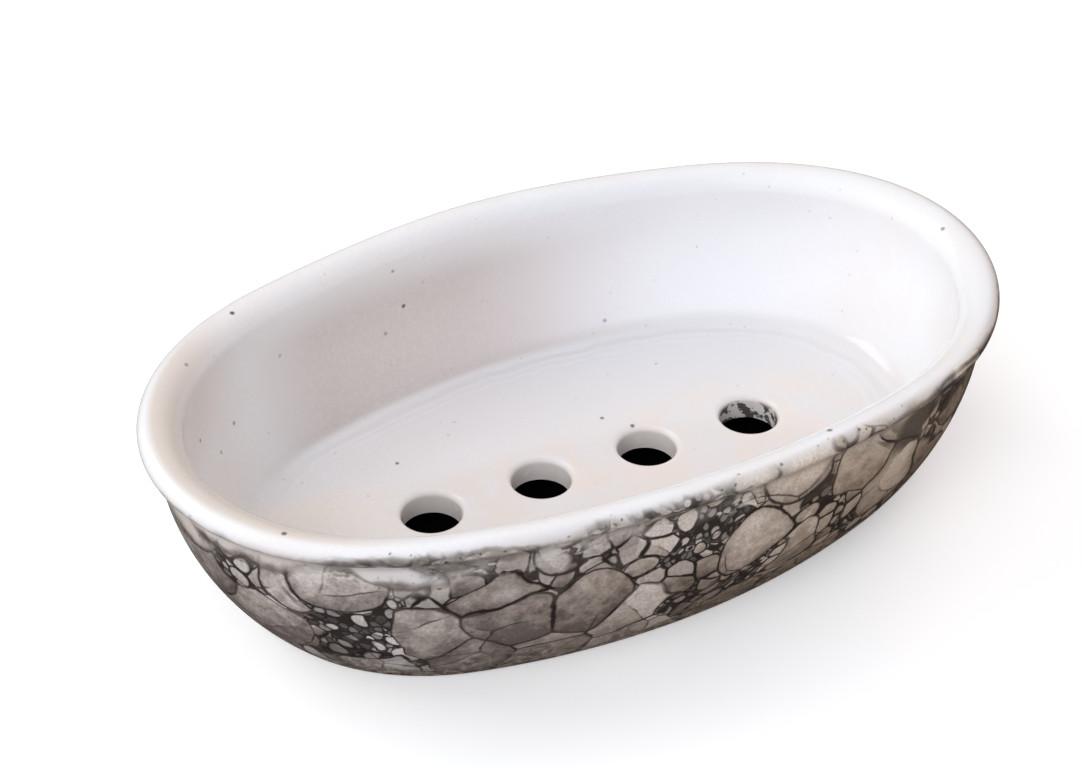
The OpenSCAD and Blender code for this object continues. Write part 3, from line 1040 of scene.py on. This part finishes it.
# %% Specks and splashes
SPECKS = ((-46.2, 30.5, 35.8, 0.36, 0.9), (-14.8, 35.6, 23.7, 0.34, 0.85),
          (-16.4, 35.8, 31.0, 0.28, 0.55), (-57.3, 21.5, 35.5, 0.3, 0.5),
          (-50.1, 23.7, 20.3, 0.32, 0.6), (-57.9, 17.1, 24.3, 0.3, 0.6),
          (-54.0, 19.6, 18.8, 0.28, 0.5), (-26.3, 15.4, 9.0, 0.3, 0.75),
          (8.6, 10.0, 9.0, 0.34, 0.7), (12.0, 5.9, 8.9, 0.34, 0.8),
          (-60.0, -21.8, 35.7, 0.36, 0.8), (17.9, -38.6, 36.0, 0.4, 0.7),
          (65.3, -2.5, 35.6, 0.36, 0.6), (21.2, 30.9, 11.6, 0.4, 0.6),
          (-39.0, 30.6, 25.1, 0.3, 0.35))
SCATTERS = ((2.6, 0.14, 0.34, 0.45, 0.22, 23), (7.0, 0.2, 0.42, 0.3, 0.5, 24))
BLACK_SPECK, GREY_SPECK = rgb(0.05, 0.04, 0.05), rgb(0.10, 0.09, 0.10)
RUST_SPECK = rgb(0.33, 0.20, 0.10)
HOLE_WALL, SPLASH = rgb(0.70, 0.66, 0.63), rgb(0.03, 0.025, 0.025)
for spacing, least, most, share, strength, seed in SCATTERS:
    mask, chance = dots(tree, place, spacing, least, most, share, strength, seed)
    colour = blended(tree, mask, colour, blended(tree, chance, GREY_SPECK, RUST_SPECK))
for px, py, pz, radius, strength in SPECKS:
    away = far_from(tree, place, (px, py, pz))
    colour = blended(tree, ramp(tree, away, radius * 0.6, radius * 1.5, strength, 0.0), colour,
                     BLACK_SPECK)
wall = ramp(tree, height, FLOOR_H - 1.6, FLOOR_H - 0.5, 1.0, 0.0)
colour = blended(tree, wall, colour, HOLE_WALL)
splash = both(tree, wall, ramp(tree, noise(tree, place, 2.4, 3.0, 0.6, seed=25), 0.5, 0.55),
              ramp(tree, x, 22.0, 24.0), 0.9)
colour = blended(tree, splash, colour, SPLASH)
print(len(SPECKS), "specks are placed")

# %% [markdown]
# ## Rings and gloss of the white
# Under the glaze the tool left turning rings round the edge of the floor. Each ring is a low
# ridge or groove at its own distance from the cove, and a slow noise keeps it from being true.
# The rest of the surface is slightly uneven, as thick glaze is, and very glossy.

# %% Rings and gloss
RINGS = ((-0.9, 0.9, 0.07), (0.5, 0.8, -0.05), (-2.4, 0.7, 0.03), (-3.3, 0.5, -0.025))
SLOW_SWELL, FINE_SWELL = 0.07, 0.008
swirl = ramp(tree, noise(tree, place, 8.0, 2.0, seed=26), 0.3, 0.7, -0.5, 0.5)
ring_at = maths(tree, "ADD", maths(tree, "SUBTRACT", out, cove_mid.x), swirl)
skin = maths(tree, "MULTIPLY", noise(tree, place, 7.0, 2.0, seed=27), SLOW_SWELL)
skin = maths(tree, "MULTIPLY_ADD", noise(tree, place, 1.8, 2.0, seed=28), FINE_SWELL, skin)
for where, wide, tall in RINGS:
    near = maths(tree, "ABSOLUTE", maths(tree, "SUBTRACT", ring_at, where))
    skin = maths(tree, "MULTIPLY_ADD", ramp(tree, near, 0.0, wide, 1.0, 0.0), tall, skin)
glossy = ramp(tree, noise(tree, place, 3.5, 2.0, seed=29), 0.3, 0.7, 0.08, 0.16)
glossy = maths(tree, "MULTIPLY_ADD", wall, 0.12, glossy)
give_out(tree, give, Colour=colour, Rough=glossy, Height=skin)
print("White glaze has", len(tree.nodes), "nodes")

# %% [markdown]
# ## The bare clay
# The clay is a buff stoneware with grog in it. Unglazed, it is matt and sandy: paler grains of
# grog and dark iron spots in a warm ground, toasted here and there by the flame, and most of all
# beside the glaze. The tool that trimmed the underside left fine rings. The bottom of the foot
# was ground, so it is smoother and shows the cut grains. Both clay pieces use one look, with more
# or less of the rings.

# %% Colours of the clay
BUFF, PALE_BUFF = rgb(0.47, 0.355, 0.265), rgb(0.575, 0.455, 0.345)
TOASTED, RING_SHADE = rgb(0.42, 0.25, 0.155), rgb(0.30, 0.21, 0.15)
PALE_SAND, DARK_SAND, GROG = rgb(0.70, 0.58, 0.46), rgb(0.28, 0.19, 0.13), rgb(0.74, 0.64, 0.53)
IRON_BLACK, IRON_BROWN = rgb(0.05, 0.03, 0.022), rgb(0.20, 0.09, 0.045)
GROUND_CLAY, BY_GLAZE = rgb(0.66, 0.55, 0.44), rgb(0.30, 0.16, 0.095)
clay_look, take, give = new_group(
    "fired_clay_look", [("Place", "Vector"), ("Section", "Vector"), ("Rings", "Float")],
    [("Colour", "Color"), ("Rough", "Float"), ("Height", "Float")])
tree, place = clay_look, take["Place"]
out, _, height = parts(tree, take["Section"])
ground = ramp(tree, height, 0.02, 0.3, 1.0, 0.0)
colour = blended(tree, ramp(tree, noise(tree, place, 12.0, 3.0, seed=40), 0.35, 0.65),
                 BUFF, PALE_BUFF)
toast = ramp(tree, noise(tree, place, 24.0, 2.0, seed=41), 0.5, 0.66, 0.0, 0.6)
colour = blended(tree, toast, colour, TOASTED)
sand = noise(tree, place, 0.35, 4.0, 0.7, seed=42)
colour = blended(tree, ramp(tree, sand, 0.42, 0.68, 0.0, 0.45), colour, PALE_SAND)
colour = blended(tree, ramp(tree, sand, 0.5, 0.3, 0.0, 0.4), colour, DARK_SAND)
grog, _ = dots(tree, place, 1.5, 0.16, 0.4, 0.5, 0.8, 43)
colour = blended(tree, grog, colour, GROG)
iron, iron_chance = dots(tree, place, 2.6, 0.12, 0.42, 0.55, 0.85, 44)
colour = blended(tree, iron, colour, blended(tree, iron_chance, IRON_BLACK, IRON_BROWN))
colour = blended(tree, both(tree, ground, 0.35), colour, GROUND_CLAY)
print("Clay's colours are mixed,", len(tree.nodes), "nodes so far")

# %% Rings and grain of the clay
RING_WIDTH, RING_DRIFT = 0.7, 0.8
SAND_RISE, RING_RISE, GROG_RISE, IRON_RISE = 0.09, 0.1, 0.05, -0.04
turn = maths(tree, "MULTIPLY_ADD", noise(tree, place, 12.0, 2.0, seed=45), RING_DRIFT, out)
rings = noise(tree, node(tree, "CombineXYZ", {0: turn}).outputs[0], RING_WIDTH, 2.0, 0.5)
colour = blended(tree, both(tree, take["Rings"], ramp(tree, rings, 0.5, 0.36), 0.18), colour,
                 RING_SHADE)
by_glaze = both(tree, ramp(tree, height, WIPED_H - 0.7, WIPED_H - 0.1),
                ramp(tree, out, -16.0, -12.0), 0.75)
colour = blended(tree, by_glaze, colour, BY_GLAZE)
scuffs = noise(tree, stretched(tree, place, (0.15, 1.0, 1.0)), 0.4, 3.0, 0.6, seed=46)
matt = maths(tree, "MULTIPLY_ADD", sand, 0.3, 0.65)
matt = maths(tree, "SUBTRACT", matt, both(tree, ground, ramp(tree, scuffs, 0.4, 0.6, 0.1, 0.3)))
rise = maths(tree, "MULTIPLY_ADD", sand, SAND_RISE, both(tree, rings, take["Rings"], RING_RISE))
rise = both(tree, maths(tree, "MULTIPLY_ADD", grog, GROG_RISE, rise),
            maths(tree, "MULTIPLY_ADD", ground, -0.8, 1.0))
rise = maths(tree, "MULTIPLY_ADD", iron, IRON_RISE, rise)
give_out(tree, give, Colour=colour, Rough=matt, Height=rise)
print("Clay has", len(tree.nodes), "nodes")

# %% [markdown]
# ## Materials
# Every finish is one Principled shader, and the groups above give it what changes over the
# surface. The outer coat has the bubble pattern laid over the white, because both glazes are seen
# where the pattern fades out under the lip. The pattern's tree is costly to work out, so the
# bowl's inside goes without it, and only the strip of the inner coat outside the crest has both.

# %% Helpers for materials
def shaded(name, looks):
    """A material with one shader, whose colour, roughness and height looks(tree) gives."""
    paint = bpy.data.materials.new(name)
    tree, output = new_tree(paint)
    colour, rough, height = looks(tree)
    skin = node(tree, "BsdfPrincipled", {"Base Color": colour, "Roughness": rough})
    bump = node(tree, "Bump", {"Strength": 1.0, "Distance": MM, "Height": height})
    tree.links.new(bump.outputs[0], skin.inputs["Normal"])
    tree.links.new(skin.outputs[0], output.inputs[0])
    return paint


def look_of(tree, group, **settings):
    """A group's colour, roughness and height on the piece, and all that it gives."""
    made = group_node(tree, group, {"Place": object_mm(tree), "Section": section_mm(tree),
                                    **settings})
    return (made["Colour"], made["Rough"], made["Height"]), made


INK_RISE = 0.03


def both_glazes(tree):
    """The bubble pattern over white glaze."""
    (white_colour, white_rough, white_height), _ = look_of(tree, white)
    (colour, rough, inked), over = look_of(tree, pattern)
    rough = maths(tree, "SUBTRACT", rough, white_rough)
    rough = maths(tree, "MULTIPLY_ADD", over["Cover"], rough, white_rough)
    return (blended(tree, over["Cover"], white_colour, colour), rough,
            maths(tree, "MULTIPLY_ADD", inked, INK_RISE, white_height))


print("The ink stands up", INK_RISE, "mm")

# %% Materials of the pieces
UNDER_RINGS, FOOT_RINGS = 1.0, 0.35
patterned_paint = shaded("patterned_glaze", both_glazes)
lip_paint = shaded("lip_glaze", both_glazes)
white_paint = shaded("white_glaze", lambda tree: look_of(tree, white)[0])
trimmed_paint = shaded("trimmed_clay", lambda tree: look_of(tree, clay_look, Rings=UNDER_RINGS)[0])
foot_paint = shaded("foot_clay", lambda tree: look_of(tree, clay_look, Rings=FOOT_RINGS)[0])
for piece, paint in ((outside, patterned_paint), (inside, white_paint), (clay, trimmed_paint),
                     (foot, foot_paint)):
    piece.data.materials.clear()
    piece.data.materials.append(paint)
    print(piece.name, "is finished in", paint.name)

# %% The strip of the inner coat outside the crest
STRIP_PAST_CREST = 1.2
inside.data.materials.append(lip_paint)
section = inside.data.attributes["section"].data
for face in inside.data.polygons:
    mean = sum((section[i].vector for i in face.vertices), Vector()) / len(face.vertices)
    if mean.x > -LIP_R - STRIP_PAST_CREST and mean.z > DISH_H - LIP_R:
        face.material_index = 1
print(sum(f.material_index for f in inside.data.polygons), "faces of the lip")

# %% [markdown]
# ## Handing over
# Each piece rides on the one body and stands for its CAD node, which is hidden.

# %% Hand over
for piece, stands_for, slot in ((clay, "stoneware_body", "fired_clay"),
                                (foot, "foot_ring", "foot_clay"),
                                (inside, "liner_glaze", "white_glaze"),
                                (outside, "bubble_glaze", "patterned_glaze")):
    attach(piece, "root")
    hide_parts(stands_for)
